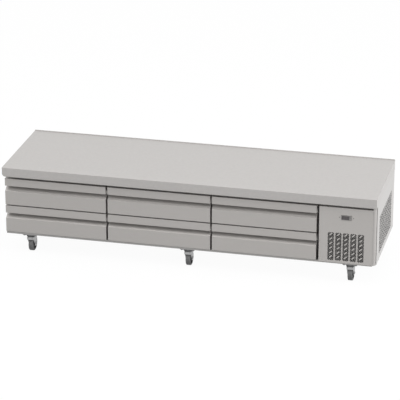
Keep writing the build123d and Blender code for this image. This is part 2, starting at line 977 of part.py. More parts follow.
def make_caster_plates():
    solids = []
    for kingpin_y in (kingpin_front, kingpin_rear):
        for caster_x in caster_middles.values():
            plate = block(
                span(caster_x, caster_plate_width / 2),
                span(kingpin_y, caster_plate_depth / 2),
                (plate_bottom, caster_height),
            )
            plate += post(race_radius, caster_x, kingpin_y, (plate_bottom - race_height, plate_bottom))
            head_top = crown_bottom - seat_clearance
            head_ends = (head_top - kingpin_head_thickness, head_top)
            plate += post(kingpin_radius, caster_x, kingpin_y, (head_top, plate_bottom))
            plate += post(kingpin_head_radius, caster_x, kingpin_y, head_ends)
            for bolt_x, bolt_y in bolt_places(caster_x, kingpin_y):
                plate -= post(
                    caster_bolt_radius + caster_bolt_clearance, bolt_x, bolt_y,
                    (plate_bottom - overrun, caster_height + overrun),
                )
                head_low = plate_bottom - caster_bolt_head_thickness
                hexagon = RegularPolygon(caster_bolt_head_radius, 6)
                bolt = Pos(bolt_x, bolt_y, head_low) * extrude(hexagon, amount=caster_bolt_head_thickness)
                shank_ends = (plate_bottom, plate_bottom + caster_bolt_length)
                bolt += post(caster_bolt_radius, bolt_x, bolt_y, shank_ends)
                solids.append(bolt)
            solids.append(plate)
    return solids


def make_caster_fork(caster_x, kingpin_y, trail):
    direction = 1 if trail > 0 else -1
    axle_y = kingpin_y + trail
    crown_ends = (kingpin_y - direction * fork_front_reach, axle_y + direction * fork_rear_reach)
    fork = block(span(caster_x, fork_outer_half), crown_ends, (crown_bottom, crown_top))
    fork += block(
        span(caster_x, fork_outer_half),
        (crown_ends[0], crown_ends[0] + direction * fork_sheet),
        (crown_bottom - fork_apron_drop, crown_bottom),
    )
    race_top = plate_bottom - race_height - race_gap
    fork += post(fork_race_radius, caster_x, kingpin_y, (crown_bottom, race_top))
    for side in (-1, 1):
        face_x = caster_x + side * fork_outer_half
        outline = [
            (face_x, crown_ends[0], crown_top),
            (face_x, crown_ends[1], crown_top),
            (face_x, axle_y + direction * fork_foot_radius, wheel_radius),
            (face_x, axle_y - direction * fork_foot_radius, wheel_radius),
        ]
        leg = extrude(Face(Wire.make_polygon(outline, close=True)), amount=fork_sheet, dir=(-side, 0, 0))
        leg += cross_rod(fork_foot_radius, (face_x, face_x - side * fork_sheet), axle_y, wheel_radius)
        leg -= cross_rod(
            axle_radius + running_clearance,
            (face_x + side * overrun, face_x - side * (fork_sheet + overrun)),
            axle_y, wheel_radius,
        )
        fork += leg
    pin_ends = (crown_bottom - overrun, race_top + overrun)
    fork -= post(kingpin_radius + running_clearance, caster_x, kingpin_y, pin_ends)
    axle = cross_rod(axle_radius, span(caster_x, fork_outer_half), axle_y, wheel_radius)
    for side in (-1, 1):
        face_x = caster_x + side * fork_outer_half
        axle += cross_rod(
            axle_head_radius, (face_x, face_x + side * axle_head_thickness), axle_y, wheel_radius
        )
    return [fork, axle]


def make_caster_wheel(caster_x, axle_y):
    hub_half = fork_inside_width / 2 - seat_clearance
    tread_half = wheel_width / 2
    web_half = tread_half - wheel_web_recess
    bore = axle_radius + running_clearance
    with BuildSketch(Plane.XY) as sketch:
        with BuildLine():
            Polyline(
                (-hub_half, bore),
                (-hub_half, wheel_hub_radius),
                (-web_half, wheel_hub_radius),
                (-web_half, wheel_rim_radius),
                (-tread_half, wheel_rim_radius),
                (-tread_half, wheel_radius),
                (tread_half, wheel_radius),
                (tread_half, wheel_rim_radius),
                (web_half, wheel_rim_radius),
                (web_half, wheel_hub_radius),
                (hub_half, wheel_hub_radius),
                (hub_half, bore),
                close=True,
            )
        make_face()
        tread_corners = sketch.vertices().sort_by(Axis.Y)[-2:]
        fillet(tread_corners, wheel_edge_radius)
    wheel = revolve(sketch.sketch.face(), axis=Axis.X)
    return Pos(caster_x, axle_y, wheel_radius) * wheel


# Condensing unit

coil_front = front_plane + coil_front_gap
coil_back = coil_front + coil_depth
coil_bottom = machine_floor + coil_ground_gap
coil_top = worktop_underside - coil_top_gap
coil_width = side_inner - partition_right - 2 * coil_side_gap
shroud_back = coil_back + shroud_sheet
fan_middle_z = (coil_bottom + coil_top) / 2
fan_radius = (coil_top - coil_bottom) / 2 - fan_frame_margin
fan_hub_front = shroud_back + fan_front_gap
fan_hub_back = fan_hub_front + fan_hub_depth
motor_bar_front = fan_hub_back + motor_bar_gap
compressor_middle_y = body_rear - compressor_rear_gap
compressor_base = machine_floor + compressor_foot_height + compressor_plate_thickness
compressor_top = compressor_base + compressor_height


def make_condenser_coil():
    half = coil_width / 2
    coil = block(span(machine_middle, half), (coil_front, coil_back), (coil_bottom, coil_top))
    for side in (-1, 1):
        face_x = machine_middle + side * half
        plate_ends = (face_x, face_x - side * coil_plate)
        coil += block(plate_ends, (coil_front, coil_back), (machine_floor, coil_top))
    shroud = block(
        span(machine_middle, half), (coil_back, shroud_back), (coil_bottom, coil_top)
    )
    shroud -= rod(
        fan_radius + fan_tip_gap, machine_middle, (coil_back - overrun, shroud_back + overrun), fan_middle_z
    )
    return [coil, shroud]


def make_condenser_fan_motor():
    bar_ends = span(machine_middle, motor_bar_width / 2)
    bar_back = motor_bar_front + motor_bar_sheet
    motor = block(bar_ends, (motor_bar_front, bar_back), (coil_bottom, coil_top))
    for foot_ends in ((coil_bottom, coil_bottom + motor_bar_foot), (coil_top - motor_bar_foot, coil_top)):
        motor += block(bar_ends, (shroud_back, bar_back), foot_ends)
    motor_ends = (motor_bar_front, motor_bar_front + motor_depth)
    motor += rod(motor_radius, machine_middle, motor_ends, fan_middle_z)
    return motor - rod(
        fan_shaft_radius + running_clearance,
        machine_middle,
        (motor_bar_front - overrun, motor_bar_front + fan_shaft_length),
        fan_middle_z,
    )


def make_fan(middle_x, middle_z, hub_ends, hub_radius, tip_radius, chord, shaft_radius, shaft_end):
    hub_front, hub_back = hub_ends
    hub = rod(hub_radius, middle_x, hub_ends, middle_z)
    middle_y = (hub_front + hub_back) / 2
    blades = None
    blade_length = tip_radius - hub_radius / 2
    for index in range(fan_blade_count):
        turn = Rot(0, 360 * index / fan_blade_count, 0)
        offset_out = Pos(hub_radius / 2 + blade_length / 2, 0, 0)
        blade = turn * offset_out * Rot(fan_blade_pitch, 0, 0) * Box(blade_length, fan_blade_sheet, chord)
        blades = blade if blades is None else blades + blade
    blades = Pos(middle_x, middle_y, middle_z) * blades
    swept = rod(tip_radius, middle_x, hub_ends, middle_z)
    fan = hub + (blades & swept)
    shaft_start = hub_front if shaft_end < hub_front else hub_back
    return fan + rod(shaft_radius, middle_x, (shaft_start, shaft_end), middle_z)


def make_condenser_fan():
    shaft_end = motor_bar_front + fan_shaft_length - seat_clearance
    return make_fan(
        machine_middle, fan_middle_z, (fan_hub_front, fan_hub_back), fan_hub_radius, fan_radius,
        fan_blade_chord, fan_shaft_radius, shaft_end,
    )


def make_compressor():
    body = post(compressor_radius, machine_middle, compressor_middle_y, (compressor_base, compressor_top))
    body = fillet(body.edges().sort_by(Axis.Z)[-1], compressor_dome_radius)
    plate_low = compressor_base - compressor_plate_thickness
    half_width = compressor_plate_width / 2
    half_depth = compressor_plate_depth / 2
    body += block(
        span(machine_middle, half_width),
        span(compressor_middle_y, half_depth),
        (plate_low, compressor_base),
    )
    for side_x in (-1, 1):
        for side_y in (-1, 1):
            body += post(
                compressor_foot_radius,
                machine_middle + side_x * (half_width - compressor_foot_inset),
                compressor_middle_y + side_y * (half_depth - compressor_foot_inset),
                (machine_floor, plate_low),
            )
    box_middle = (compressor_base + compressor_top) / 2
    return body + block(
        (machine_middle, machine_middle + compressor_radius + terminal_box_width / 2),
        span(compressor_middle_y, terminal_box_width / 2),
        span(box_middle, terminal_box_height / 2),
    )


def make_pipe(points):
    path = FilletPolyline(*points, radius=pipe_bend_radius)
    start = Plane(origin=path @ 0, z_dir=path % 0)
    return sweep(start * Circle(pipe_radius), path=path)


def make_refrigerant_lines():
    coil_middle_y = (coil_front + coil_back) / 2
    header = coil_top + pipe_header_rise
    discharge_x = machine_middle + port_offset
    suction_x = machine_middle - port_offset
    liquid_x = machine_middle - coil_width / 2 + port_offset
    discharge = make_pipe([
        (discharge_x, compressor_middle_y, compressor_top),
        (discharge_x, compressor_middle_y, header),
        (discharge_x, coil_middle_y, header),
        (discharge_x, coil_middle_y, coil_top),
    ])
    liquid = make_pipe([
        (liquid_x, coil_middle_y, coil_top),
        (liquid_x, coil_middle_y, liquid_height),
        (liquid_x, evaporator_middle_y, liquid_height),
        (evaporator_right, evaporator_middle_y, liquid_height),
    ])
    suction = make_pipe([
        (evaporator_right, evaporator_middle_y, suction_height),
        (suction_x, evaporator_middle_y, suction_height),
        (suction_x, evaporator_middle_y, header),
        (suction_x, compressor_middle_y, header),
        (suction_x, compressor_middle_y, compressor_top),
    ])
    return [discharge, liquid, suction]


# Evaporator

housing_front = evaporator_front - housing_front_gap


def make_evaporator_coil():
    return block(
        (evaporator_middle_x - evaporator_width / 2, evaporator_right),
        (evaporator_front, evaporator_rear),
        (evaporator_bottom, evaporator_top),
    )


def make_evaporator_housing():
    half = evaporator_width / 2
    outer_half = half + housing_sheet
    middle_z = (evaporator_bottom + evaporator_top) / 2
    housing = block(
        span(evaporator_middle_x, outer_half),
        (housing_front, interior_rear),
        (evaporator_bottom - housing_slot_height, evaporator_top + housing_sheet),
    )
    housing -= block(
        span(evaporator_middle_x, half),
        (housing_front + housing_sheet, interior_rear + overrun),
        (evaporator_bottom - housing_slot_height - overrun, evaporator_top),
    )
    housing -= rod(
        small_fan_radius + small_fan_tip_gap,
        evaporator_middle_x,
        (housing_front - overrun, housing_front + housing_sheet + overrun),
        middle_z,
    )
    hole_ends = (evaporator_middle_x, evaporator_middle_x + outer_half + overrun)
    housing -= pipe_hole(hole_ends, liquid_height)
    housing -= pipe_hole(hole_ends, suction_height)
    arm_half = small_fan_radius + small_fan_tip_gap + small_motor_arm_width
    motor = block(
        span(evaporator_middle_x, arm_half),
        (housing_front - small_motor_arm_depth, housing_front),
        span(middle_z, small_motor_arm_width / 2),
    )
    motor_ends = (housing_front - small_motor_depth, housing_front)
    motor += rod(small_motor_radius, evaporator_middle_x, motor_ends, middle_z)
    motor -= rod(
        small_shaft_radius + running_clearance,
        evaporator_middle_x,
        (housing_front - small_shaft_length, housing_front + overrun),
        middle_z,
    )
    return [housing, motor]


def make_evaporator_fan():
    middle_z = (evaporator_bottom + evaporator_top) / 2
    hub_front = housing_front + housing_sheet + small_fan_gap
    return make_fan(
        evaporator_middle_x, middle_z, (hub_front, hub_front + small_fan_depth), small_fan_hub_radius,
        small_fan_radius, small_fan_chord, small_shaft_radius,
        housing_front - small_shaft_length + seat_clearance,
    )


# Power inlet

gland_x = side_inner - gland_side_inset
gland_z = machine_floor + gland_rise


def make_power_inlet():
    wall_inside = body_rear - shell_sheet
    gland = rod(
        gland_flange_radius, gland_x, (wall_inside - gland_flange_thickness, wall_inside), gland_z
    )
    nose_ends = (wall_inside - gland_inside_length, body_rear + gland_nose_length)
    gland += rod(gland_nose_radius, gland_x, nose_ends, gland_z)
    return gland - rod(
        gland_bore_radius,
        gland_x,
        (wall_inside - gland_inside_length - overrun, body_rear + gland_nose_length + overrun),
        gland_z,
    )


# Every sub-part under its name

def build_nodes():
    nodes = {
        "worktop": make_worktop(),
        "insulation": make_insulation(),
        "cabinet_shell": make_cabinet_shell(),
        "cabinet_liner": make_cabinet_liner(),
        "face_frame": make_face_frame(),
        "service_panel": make_service_panel(),
        "side_panel": make_side_panel(),
        "underframe": make_underframe(),
        "caster_plates": make_caster_plates(),
        "slide_channels": make_slide_channels(),
        "controller_bezel": make_controller_bezel(),
        "controller_display": block(*display_ends(0)),
        "panel_screws": make_panel_screws(),
        "condenser_coil": make_condenser_coil(),
        "condenser_fan_motor": make_condenser_fan_motor(),
        "condenser_fan": make_condenser_fan(),
        "compressor": make_compressor(),
        "refrigerant_lines": make_refrigerant_lines(),
        "evaporator_coil": make_evaporator_coil(),
        "evaporator_housing": make_evaporator_housing(),
        "evaporator_fan": make_evaporator_fan(),
        "power_inlet": make_power_inlet(),
    }
    for name, (key_x, key_z) in key_places().items():
        nodes[f"controller_key_{name}"] = make_controller_key(key_x, key_z)
    for bay, bay_name in enumerate(bay_names):
        for row in row_tops:
            place = f"{row}_{bay_name}"
            middle_x = bay_middle(bay)
            nodes[f"{place}_drawer_front"] = make_drawer_front(middle_x, row_tops[row])
            nodes[f"{place}_drawer_gasket"] = make_gasket(middle_x, row_tops[row])
            nodes[f"{place}_drawer_frame"] = make_drawer_frame(middle_x, row)
            nodes[f"{place}_drawer_slides"] = make_middle_members(middle_x, row)
    caster_lines = (("front", kingpin_front, caster_trail), ("rear", kingpin_rear, -caster_trail))
    for line, kingpin_y, trail in caster_lines:
        for side, caster_x in caster_middles.items():
            nodes[f"{line}_{side}_caster_fork"] = make_caster_fork(caster_x, kingpin_y, trail)
            nodes[f"{line}_{side}_caster_wheel"] = make_caster_wheel(caster_x, kingpin_y + trail)
    return nodes


os.makedirs("parts", exist_ok=True)
for node_name, shape in build_nodes().items():
    if isinstance(shape, list):
        shape = Compound(children=shape)
    export_step(shape, f"parts/{node_name}.step")
    print(node_name)
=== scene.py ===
import json
import math
import bmesh
import bpy
from mathutils import Matrix, Vector


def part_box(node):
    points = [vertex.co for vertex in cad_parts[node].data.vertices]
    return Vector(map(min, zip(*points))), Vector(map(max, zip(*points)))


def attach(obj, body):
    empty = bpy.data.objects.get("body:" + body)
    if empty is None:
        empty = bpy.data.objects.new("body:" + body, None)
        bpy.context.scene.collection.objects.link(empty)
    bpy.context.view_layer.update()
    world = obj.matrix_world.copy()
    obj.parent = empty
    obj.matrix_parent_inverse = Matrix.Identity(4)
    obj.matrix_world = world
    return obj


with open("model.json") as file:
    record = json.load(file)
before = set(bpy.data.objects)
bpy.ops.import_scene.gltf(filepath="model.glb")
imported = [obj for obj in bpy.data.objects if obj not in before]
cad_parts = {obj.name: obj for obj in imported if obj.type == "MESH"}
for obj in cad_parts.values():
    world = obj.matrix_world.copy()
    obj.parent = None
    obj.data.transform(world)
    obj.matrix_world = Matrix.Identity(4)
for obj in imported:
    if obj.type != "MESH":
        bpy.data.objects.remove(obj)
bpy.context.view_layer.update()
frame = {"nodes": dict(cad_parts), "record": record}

nodes = frame["nodes"]
print("frame loaded:", len(nodes), "nodes")

camera = {
    "eye": (3.21151, -13.38637, 5.80402),
    "aim": (0.03873, -0.13894, 0.40088),
    "lens": 205.4,
    "sensor": 36.0,
    "clipEnd": 60.0,
}


def placeCamera():
    data = bpy.data.cameras.new("view_camera")
    data.lens = camera["lens"]
    data.sensor_width = camera["sensor"]
    data.clip_end = camera["clipEnd"]
    rig = bpy.data.objects.new("view_camera", data)
    bpy.context.scene.collection.objects.link(rig)
    eye = Vector(camera["eye"])
    back = (eye - Vector(camera["aim"])).normalized()
    right = Vector((0, 0, 1)).cross(back).normalized()
    up = back.cross(right)
    turn = Matrix((right, up, back)).transposed().to_4x4()
    rig.matrix_world = Matrix.Translation(eye) @ turn
    bpy.context.scene.camera = rig


placeCamera()
print("camera placed")


# small helpers for node trees; the owner is a material or the world
def addNode(owner, kind, **settings):
    node = owner.node_tree.nodes.new(kind)
    for name, value in settings.items():
        setattr(node, name, value)
    return node


def link(owner, output, target):
    owner.node_tree.links.new(output, target)


# fills a socket with a colour, a number or what another node gives
def feed(owner, value, socket):
    if isinstance(value, tuple):
        socket.default_value = (*value, 1.0)
    elif isinstance(value, (int, float)):
        socket.default_value = value
    else:
        link(owner, value, socket)


def calculate(owner, operation, *values):
    node = addNode(owner, "ShaderNodeMath", operation=operation)
    for socket, value in zip(node.inputs, values):
        feed(owner, value, socket)
    return node.outputs[0]


def rangeOf(owner, value, low, high, start=0.0, end=1.0):
    spread = addNode(owner, "ShaderNodeMapRange")
    limits = {"From Min": start, "From Max": end, "To Min": low, "To Max": high}
    for name, limit in limits.items():
        spread.inputs[name].default_value = limit
    link(owner, value, spread.inputs["Value"])
    return spread.outputs["Result"]


def startMaterial(name, color, roughness, metallic=0.0):
    material = bpy.data.materials.new(name)
    material.use_nodes = True
    material.diffuse_color = (*color, 1.0)
    shader = material.node_tree.nodes["Principled BSDF"]
    shader.inputs["Base Color"].default_value = (*color, 1.0)
    shader.inputs["Roughness"].default_value = roughness
    shader.inputs["Metallic"].default_value = metallic
    return material, shader


def objectPoints(material, stretch=(1, 1, 1)):
    place = addNode(material, "ShaderNodeTexCoord")
    mapping = addNode(material, "ShaderNodeMapping")
    mapping.inputs["Scale"].default_value = stretch
    link(material, place.outputs["Object"], mapping.inputs["Vector"])
    return mapping.outputs["Vector"]


# every noise in the dictionaries below is a scale and a detail
def noiseOn(material, noiseLook, stretch=(1, 1, 1)):
    noise = addNode(material, "ShaderNodeTexNoise")
    scale, detail = noiseLook
    noise.inputs["Scale"].default_value = scale
    noise.inputs["Detail"].default_value = detail
    link(material, objectPoints(material, stretch), noise.inputs["Vector"])
    return noise.outputs["Fac"]


def bandsOn(material, direction, scale):
    bands = addNode(
        material, "ShaderNodeTexWave", wave_type="BANDS", bands_direction=direction,
    )
    bands.inputs["Scale"].default_value = scale
    link(material, objectPoints(material), bands.inputs["Vector"])
    return bands.outputs["Fac"]


def shade(color, factor):
    return tuple(min(1.0, part * factor) for part in color)


def mixColors(material, factor, first, second):
    mixer = addNode(material, "ShaderNodeMix", data_type="RGBA")
    for socket, value in ((0, factor), (6, first), (7, second)):
        feed(material, value, mixer.inputs[socket])
    return mixer.outputs[2]


# a pair of shades holds the factors of the two tones that are mixed
def mixShades(material, factor, color, shades):
    dark, light = shades
    return mixColors(material, factor, shade(color, dark), shade(color, light))


def paint(material, shader, paintColor):
    link(material, paintColor, shader.inputs["Base Color"])


def roughen(material, shader, value, low, high):
    link(material, rangeOf(material, value, low, high), shader.inputs["Roughness"])


# every bump in the dictionaries below is a strength and a depth in metres
def bumpFrom(material, shader, height, bumpLook, edge=0.0):
    bump = addNode(material, "ShaderNodeBump")
    strength, depth = bumpLook
    bump.inputs["Strength"].default_value = strength
    bump.inputs["Distance"].default_value = depth
    link(material, height, bump.inputs["Height"])
    link(material, bump.outputs["Normal"], shader.inputs["Normal"])
    if edge > 0:  # softened fold or cut edge
        bevel = addNode(material, "ShaderNodeBevel", samples=4)
        bevel.inputs["Radius"].default_value = edge
        link(material, bevel.outputs["Normal"], bump.inputs["Normal"])


# rolled stainless sheet: long grain, soft cloudy wear, slight change of gloss along the grain
rolledSteel = {
    "grainStretch": {"X": (2, 260, 260), "Y": (260, 2, 260), "Z": (260, 260, 2)},
    "grainNoise": (4.0, 4.0),
    "grainShades": (0.965, 1.03),
    "grainShare": 0.5,
    "grainGloss": 0.05,
    "cloudNoise": (55.0, 5.0),
    "wearNoise": (3.0, 2.0),
    "wearGloss": 0.03,
    "bump": (0.12, 0.0002),
}


def steelSheet(name, color, grain, roughness=0.42, metallic=0.5, cloud=0.035, edge=0.0):
    material, shader = startMaterial(name, color, roughness, metallic)
    stretch = rolledSteel["grainStretch"][grain]
    grainValue = noiseOn(material, rolledSteel["grainNoise"], stretch)
    cloudValue = noiseOn(material, rolledSteel["cloudNoise"])
    wearValue = noiseOn(material, rolledSteel["wearNoise"])
    cloudy = mixShades(material, cloudValue, color, (1 - cloud, 1 + cloud))
    grained = mixShades(material, grainValue, color, rolledSteel["grainShades"])
    paint(material, shader, mixColors(material, rolledSteel["grainShare"], cloudy, grained))
    grainGloss, wearGloss = rolledSteel["grainGloss"], rolledSteel["wearGloss"]
    gloss = calculate(
        material, "ADD",
        rangeOf(material, grainValue, -grainGloss, grainGloss),
        rangeOf(material, wearValue, roughness - wearGloss, roughness + wearGloss),
    )
    link(material, gloss, shader.inputs["Roughness"])
    bumpFrom(material, shader, grainValue, rolledSteel["bump"], edge)
    return material


# zinc plating on pressed steel: mottled spangle
zincPlating = {
    "metallic": 0.75,
    "spangleScale": 140.0,
    "spangleShades": (0.86, 1.1),
    "fineNoise": (600.0, 2.0),
    "smoother": 0.06,
    "rougher": 0.08,
    "bump": (0.15, 0.0003),
}


def zincPlate(name, color, roughness=0.38):
    material, shader = startMaterial(name, color, roughness, zincPlating["metallic"])
    cells = addNode(material, "ShaderNodeTexVoronoi")
    cells.inputs["Scale"].default_value = zincPlating["spangleScale"]
    link(material, objectPoints(material), cells.inputs["Vector"])
    spangle = mixShades(
        material, cells.outputs["Distance"], color, zincPlating["spangleShades"],
    )
    paint(material, shader, spangle)
    fine = noiseOn(material, zincPlating["fineNoise"])
    low, high = roughness - zincPlating["smoother"], roughness + zincPlating["rougher"]
    roughen(material, shader, fine, low, high)
    bumpFrom(material, shader, fine, zincPlating["bump"])
    return material


# moulded plastic with a fine spark-eroded texture
mouldTexture = {
    "detail": 2.0,
    "shades": (0.92, 1.08),
    "smoother": 0.05,
    "rougher": 0.07,
    "bump": (0.2, 0.0002),
}


def mouldedPlastic(name, color, roughness=0.45, grainScale=900.0):
    material, shader = startMaterial(name, color, roughness)
    fine = noiseOn(material, (grainScale, mouldTexture["detail"]))
    paint(material, shader, mixShades(material, fine, color, mouldTexture["shades"]))
    low, high = roughness - mouldTexture["smoother"], roughness + mouldTexture["rougher"]
    roughen(material, shader, fine, low, high)
    bumpFrom(material, shader, fine, mouldTexture["bump"])
    return material


# extruded rubber: dull bloom and faint lengthwise lines
extrudedRubber = {
    "roughness": 0.62,
    "bloomNoise": (70.0, 4.0),
    "bloomShades": (0.8, 1.35),
    "bloomRoughness": (0.55, 0.72),
    "lineScale": 160.0,
    "bump": (0.35, 0.0006),
}


def gasketRubber(name, color):
    material, shader = startMaterial(name, color, extrudedRubber["roughness"])
    bloom = noiseOn(material, extrudedRubber["bloomNoise"])
    paint(material, shader, mixShades(material, bloom, color, extrudedRubber["bloomShades"]))
    roughen(material, shader, bloom, *extrudedRubber["bloomRoughness"])
    lines = bandsOn(material, "Y", extrudedRubber["lineScale"])
    bumpFrom(material, shader, lines, extrudedRubber["bump"])
    return material


# stacked aluminium fins, seen as fine vertical lines; the dark gaps between the lines are
# painted shade between the fins
coilFins = {
    "roughness": 0.4,
    "metallic": 0.6,
    "pitchAtScaleOne": 0.314,
    "gapShades": (0.25, 1.0),
    "dustNoise": (30.0, 4.0),
    "dustShade": 0.6,
    "dustCover": 0.35,
    "bump": (0.6, 0.001),
}


def finStack(name, color, pitch):
    material, shader = startMaterial(
        name, color, coilFins["roughness"], coilFins["metallic"],
    )
    lines = bandsOn(material, "X", coilFins["pitchAtScaleOne"] / pitch)
    dust = noiseOn(material, coilFins["dustNoise"])
    lined = mixShades(material, lines, color, coilFins["gapShades"])
    dustShare = rangeOf(material, dust, 0.0, coilFins["dustCover"])
    dustColor = shade(color, coilFins["dustShade"])
    paint(material, shader, mixColors(material, dustShare, lined, dustColor))
    bumpFrom(material, shader, lines, coilFins["bump"])
    return material


# stove enamel on the compressor and motor, with a film of dust
stoveEnamel = {
    "roughness": 0.3,
    "coat": 0.3,
    "peelNoise": (160.0, 2.0),
    "dustNoise": (12.0, 5.0),
    "dustShades": (1.0, 2.2),
    "dustRoughness": (0.3, 0.5),
    "bump": (0.12, 0.0006),
}


def blackEnamel(name, color):
    material, shader = startMaterial(name, color, stoveEnamel["roughness"])
    peel = noiseOn(material, stoveEnamel["peelNoise"])
    dust = noiseOn(material, stoveEnamel["dustNoise"])
    paint(material, shader, mixShades(material, dust, color, stoveEnamel["dustShades"]))
    roughen(material, shader, dust, *stoveEnamel["dustRoughness"])
    shader.inputs["Coat Weight"].default_value = stoveEnamel["coat"]
    bumpFrom(material, shader, peel, stoveEnamel["bump"])
    return material


# drawn copper, duller where it is stained
drawnCopper = {
    "roughness": 0.32,
    "metallic": 0.9,
    "stainNoise": (24.0, 5.0),
    "stainShades": (0.55, 1.0),
    "stainRoughness": (0.5, 0.24),
}


def copperTube(name, color):
    material, shader = startMaterial(
        name, color, drawnCopper["roughness"], drawnCopper["metallic"],
    )
    stain = noiseOn(material, drawnCopper["stainNoise"])
    paint(material, shader, mixShades(material, stain, color, drawnCopper["stainShades"]))
    roughen(material, shader, stain, *drawnCopper["stainRoughness"])
    return material


# smoked window with a slight haze
smokedWindow = {
    "roughness": 0.12,
    "hazeNoise": (80.0, 3.0),
    "hazeShades": (1.0, 1.5),
    "hazeRoughness": (0.1, 0.22),
}


def darkWindow(name, color):
    material, shader = startMaterial(name, color, smokedWindow["roughness"])
    haze = noiseOn(material, smokedWindow["hazeNoise"])
    paint(material, shader, mixShades(material, haze, color, smokedWindow["hazeShades"]))
    roughen(material, shader, haze, *smokedWindow["hazeRoughness"])
    return material


# cut insulation foam
cutFoam = {
    "roughness": 0.9,
    "cellNoise": (260.0, 4.0),
    "cellShades": (0.8, 1.0),
    "bump": (0.5, 0.001),
}


def foamBoard(name, color):
    material, shader = startMaterial(name, color, cutFoam["roughness"])
    cells = noiseOn(material, cutFoam["cellNoise"])
    paint(material, shader, mixShades(material, cells, color, cutFoam["cellShades"]))
    bumpFrom(material, shader, cells, cutFoam["bump"])
    return material


# caster wheel: tread and rim in one solid, told apart by the distance from the axle
wheel = {
    "treadColor": (0.17, 0.17, 0.17),
    "sideColor": (0.025, 0.025, 0.026),
    "sideRadius": 0.0465,
    "blend": 0.0008,
    "roughness": 0.5,
    "scuffNoise": (90.0, 4.0),
    "treadShades": (0.8, 1.2),
    "sideShades": (0.7, 1.3),
    "scuffRoughness": (0.4, 0.62),
    "bump": (0.25, 0.0004),
}


def casterWheel(name, axle):
    material, shader = startMaterial(name, wheel["treadColor"], wheel["roughness"])
    place = addNode(material, "ShaderNodeTexCoord")
    offset = addNode(material, "ShaderNodeVectorMath", operation="SUBTRACT")
    offset.inputs[1].default_value = axle
    link(material, place.outputs["Object"], offset.inputs[0])
    across = addNode(material, "ShaderNodeVectorMath", operation="MULTIPLY")
    across.inputs[1].default_value = (0, 1, 1)
    link(material, offset.outputs["Vector"], across.inputs[0])
    reach = addNode(material, "ShaderNodeVectorMath", operation="LENGTH")
    link(material, across.outputs["Vector"], reach.inputs[0])
    start, end = wheel["sideRadius"] - wheel["blend"], wheel["sideRadius"] + wheel["blend"]
    isTread = rangeOf(material, reach.outputs["Value"], 0.0, 1.0, start, end)
    scuff = noiseOn(material, wheel["scuffNoise"])
    tread = mixShades(material, scuff, wheel["treadColor"], wheel["treadShades"])
    side = mixShades(material, scuff, wheel["sideColor"], wheel["sideShades"])
    paint(material, shader, mixColors(material, isTread, side, tread))
    roughen(material, shader, scuff, *wheel["scuffRoughness"])
    bumpFrom(material, shader, scuff, wheel["bump"])
    return material


# a face that leans further than this from the axis across its sheet is a cut edge
cutEdgeLimit = 0.5


# faces inside a box take a darker colour that paints the shade there, such as inside the
# machine bay behind the grilles;
# given the axis across a sheet, only the cut edges of its holes do
def paintShadeInside(material, color, lowCorner, highCorner, sheetAxis=None):
    shader = material.node_tree.nodes["Principled BSDF"]
    place = addNode(material, "ShaderNodeTexCoord")
    parts = addNode(material, "ShaderNodeSeparateXYZ")
    link(material, place.outputs["Object"], parts.inputs[0])
    tests = []
    for axis, part in enumerate(parts.outputs):
        tests.append(calculate(material, "GREATER_THAN", part, lowCorner[axis]))
        tests.append(calculate(material, "LESS_THAN", part, highCorner[axis]))
    if sheetAxis is not None:
        facing = addNode(material, "ShaderNodeSeparateXYZ")
        link(material, place.outputs["Normal"], facing.inputs[0])
        flatness = calculate(material, "ABSOLUTE", facing.outputs[sheetAxis])
        tests.append(calculate(material, "LESS_THAN", flatness, cutEdgeLimit))
    inside = tests[0]
    for test in tests[1:]:
        inside = calculate(material, "MULTIPLY", inside, test)
    unshadedColor = shader.inputs["Base Color"].links[0].from_socket
    paint(material, shader, mixColors(material, inside, unshadedColor, color))


def middleOf(low, high):
    return tuple((a + b) / 2 for a, b in zip(low, high))


# one stainless steel in lit and shaded copies: the side tone is lighter, painted light; the
# front, post and rail tones are darker, painted shade
sheetTonesLitAndShaded = {
    "outer": (0.50, 0.484, 0.471),
    "front": (0.478, 0.459, 0.442),
    "panel": (0.50, 0.480, 0.463),
    "post": (0.45, 0.434, 0.421),
    "side": (0.515, 0.502, 0.491),
    "inner": (0.50, 0.495, 0.485),
    "rail": (0.40, 0.39, 0.38),
}

worktopSteel = steelSheet("worktop_steel", sheetTonesLitAndShaded["outer"], "X", cloud=0.12, edge=0.0012)
frontSteelPaintedShade = steelSheet("front_steel", sheetTonesLitAndShaded["front"], "X", edge=0.0009)
panelSteel = steelSheet("panel_steel", sheetTonesLitAndShaded["panel"], "X")
postSteelPaintedShade = steelSheet("frame_steel", sheetTonesLitAndShaded["post"], "Z")
sideSteelPaintedLight = steelSheet("side_steel", sheetTonesLitAndShaded["side"], "Z")
shellSteel = steelSheet("shell_steel", sheetTonesLitAndShaded["inner"], "X", roughness=0.5, metallic=0.4)
linerSteel = steelSheet(
    "liner_steel", sheetTonesLitAndShaded["inner"], "Y", roughness=0.4, metallic=0.6, edge=0.0006,
)
railSteelPaintedShade = steelSheet("rail_steel", sheetTonesLitAndShaded["rail"], "X", roughness=0.5, metallic=0.4)
slideSteel = zincPlate("slide_zinc", (0.52, 0.52, 0.53), roughness=0.32)
casterZinc = zincPlate("caster_zinc", (0.42, 0.42, 0.42))
# a darker copy of the caster zinc, painted shade under the rail
plateZincPaintedShade = zincPlate("plate_zinc", (0.22, 0.22, 0.22), roughness=0.45)
screwZinc = zincPlate("screw_zinc", (0.27, 0.265, 0.26), roughness=0.35)
# near-black zinc for the screw crosses, painted shade in the recesses
recessPaintedShade = zincPlate("screw_recess", (0.05, 0.05, 0.05), roughness=0.6)
